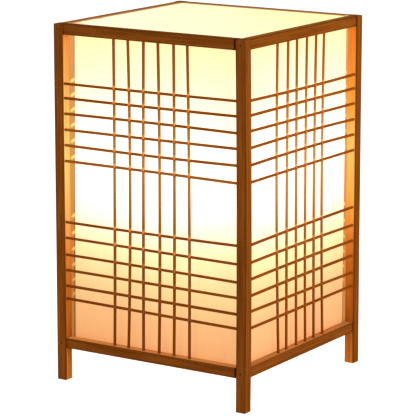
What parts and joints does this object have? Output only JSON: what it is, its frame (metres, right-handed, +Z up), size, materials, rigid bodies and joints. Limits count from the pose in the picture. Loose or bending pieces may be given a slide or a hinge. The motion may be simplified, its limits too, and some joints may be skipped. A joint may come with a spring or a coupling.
{
  "type": "bedside lamp",
  "caption": "Square wooden lantern lamp on post legs, with stick lattices over lit film panels, a lift-out film top and a screw-in bulb inside.",
  "frame": {"origin": "on the floor plane under the middle of the lamp", "axes": "+Z up; the front lattice faces -Y and the sides are square to X and Y"},
  "size_m": [0.25, 0.25, 0.4075],
  "materials": {
    "frame_wood": "dark stained, satin",
    "stick_wood": "dark stained, matt",
    "shade_film": "translucent cream film, lit from inside",
    "dark_steel": "blackened",
    "brass": "plain",
    "aluminium": "plain",
    "white_ceramic": "unglazed",
    "black_plastic": "moulded",
    "white_plastic": "moulded",
    "opal_diffuser": "opal, lit"
  },
  "bodies": {
    "frame": {"post_front_left": "frame_wood", "post_front_right": "frame_wood", "post_back_left": "frame_wood", "post_back_right": "frame_wood", "top_rail_front": "frame_wood", "top_rail_right": "frame_wood", "top_rail_back": "frame_wood", "top_rail_left": "frame_wood", "bottom_rail_front": "frame_wood", "bottom_rail_right": "frame_wood", "bottom_rail_back": "frame_wood", "bottom_rail_left": "frame_wood", "lattice_front": "stick_wood", "lattice_right": "stick_wood", "lattice_back": "stick_wood", "lattice_left": "stick_wood", "film_front": "shade_film", "film_right": "shade_film", "film_back": "shade_film", "film_left": "shade_film", "batten_front_left": "stick_wood", "batten_front_right": "stick_wood", "batten_back_left": "stick_wood", "batten_back_right": "stick_wood", "pin_top_right_a": "dark_steel", "pin_top_right_b": "dark_steel", "pin_top_left_a": "dark_steel", "pin_top_left_b": "dark_steel", "pin_bottom_right_a": "dark_steel", "pin_bottom_right_b": "dark_steel", "pin_bottom_left_a": "dark_steel", "pin_bottom_left_b": "dark_steel", "crossbar": "stick_wood", "riser_tube": "dark_steel", "lock_nut_upper": "dark_steel", "lock_nut_lower": "dark_steel", "washer_upper": "dark_steel", "washer_lower": "dark_steel", "inlet_bush": "black_plastic", "holder_cap": "black_plastic", "holder_body": "black_plastic", "holder_insert": "white_ceramic", "holder_screw_shell": "brass", "holder_contact": "brass"},
    "top_panel": {"top_panel": "shade_film"},
    "bulb_centre_contact": {"bulb_contact": "brass"},
    "bulb": {"bulb_insulator": "black_plastic", "bulb_cap": "aluminium", "bulb_housing": "white_plastic", "bulb_led_board": "aluminium", "bulb_diffuser": "opal_diffuser"}
  },
  "joints": [
    {"name": "top_panel_lift", "type": "slide", "parent": "frame", "child": "top_panel", "axis": [0, 0, 1], "range_m": [0, 0.12]},
    {"name": "bulb_lift", "type": "slide", "parent": "frame", "child": "bulb_centre_contact", "axis": [0, 0, 1], "range_m": [0, 0.0128]},
    {"name": "bulb_turn", "type": "hinge", "parent": "bulb_centre_contact", "child": "bulb", "pos_m": [0, 0, 0.1306], "axis": [0, 0, 1], "range_deg": [0, 1260]}
  ],
  "couplings": [
    {"joint": "bulb_lift", "follows": "bulb_turn", "m_per_rad": 0.00057757}
  ]
}
